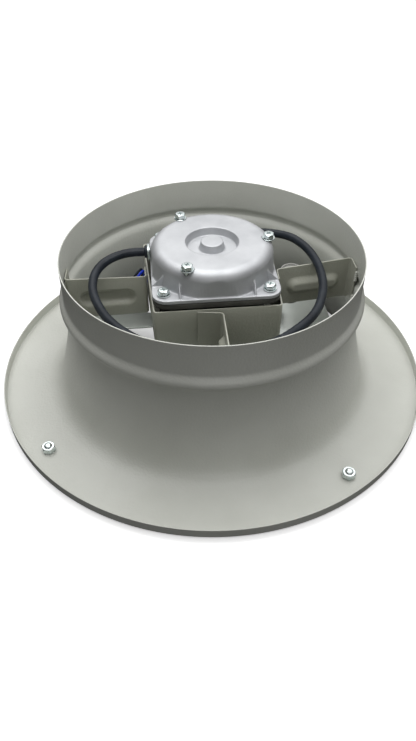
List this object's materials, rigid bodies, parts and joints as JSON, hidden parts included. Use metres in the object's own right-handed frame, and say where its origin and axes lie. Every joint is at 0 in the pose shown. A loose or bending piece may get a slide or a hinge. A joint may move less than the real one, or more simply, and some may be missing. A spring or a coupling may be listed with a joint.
{
  "type": "exhaust hood fan",
  "caption": "Axial exhaust fan for a hood duct: flared flanged collar, cast motor in a sheet tray on pressed arms, sheet-blade wheel and a loose supply lead.",
  "frame": {"origin": "centre of the flange's underside, on the wheel's axis", "axes": "+Z along the wheel's axis, from the flange to the duct collar; -Y is the side that the front arm points to"},
  "size_m": [0.3828, 0.3828, 0.1384],
  "materials": {
    "painted_steel": "fine-texture powder coat, satin",
    "cast_aluminium": "shot-blasted die casting, matte",
    "dark_casting": "dark casting, matte",
    "zinc_plate": "bright zinc plate",
    "wheel_sheet": "rolled sheet, satin",
    "bare_steel": "ground steel",
    "copper_winding": "enamelled copper wire",
    "black_pvc": "black PVC, satin",
    "blue_pvc": "blue PVC, glossy",
    "pale_plastic": "pale grey moulded plastic"
  },
  "bodies": {
    "fan_frame": {"housing_shell": "painted_steel", "motor_tray": "painted_steel", "arm_right": "painted_steel", "arm_front": "painted_steel", "arm_left": "painted_steel", "flange_stud_1": "zinc_plate", "flange_stud_2": "zinc_plate", "flange_stud_3": "zinc_plate", "flange_stud_4": "zinc_plate", "flange_nut_1": "zinc_plate", "flange_nut_2": "zinc_plate", "flange_nut_3": "zinc_plate", "flange_nut_4": "zinc_plate", "motor_cap": "cast_aluminium", "motor_body": "dark_casting", "stator_core": "bare_steel", "winding_lower": "copper_winding", "winding_upper": "copper_winding", "bearing_lower": "bare_steel", "bearing_upper": "bare_steel", "cap_screw_1": "zinc_plate", "cap_screw_2": "zinc_plate", "cap_screw_3": "zinc_plate", "cap_screw_1_washer": "zinc_plate", "cap_screw_2_washer": "zinc_plate", "cap_screw_3_washer": "zinc_plate", "corner_screw_1": "zinc_plate", "corner_screw_2": "zinc_plate", "corner_screw_3": "zinc_plate", "corner_screw_4": "zinc_plate", "corner_screw_1_washer": "zinc_plate", "corner_screw_2_washer": "zinc_plate", "corner_screw_3_washer": "zinc_plate", "corner_screw_4_washer": "zinc_plate", "seat_screw_1": "zinc_plate", "seat_screw_2": "zinc_plate", "seat_screw_3": "zinc_plate", "seat_screw_4": "zinc_plate", "gland_plate": "zinc_plate", "lead_bush": "black_pvc", "supply_lead": "black_pvc", "lead_core_blue": "blue_pvc", "lead_core_black": "black_pvc", "run_capacitor": "pale_plastic", "capacitor_strap": "zinc_plate"},
    "wheel": {"motor_shaft": "bare_steel", "rotor_core": "bare_steel", "wheel_hub": "wheel_sheet", "wheel_washer": "zinc_plate", "wheel_nut": "zinc_plate", "blade_1": "wheel_sheet", "blade_2": "wheel_sheet", "blade_3": "wheel_sheet", "blade_4": "wheel_sheet", "blade_5": "wheel_sheet"}
  },
  "joints": [
    {"name": "wheel_spin", "type": "hinge", "parent": "fan_frame", "child": "wheel", "pos_m": [0, 0, 0.045], "axis": [0, 0, 1], "continuous": true}
  ]
}
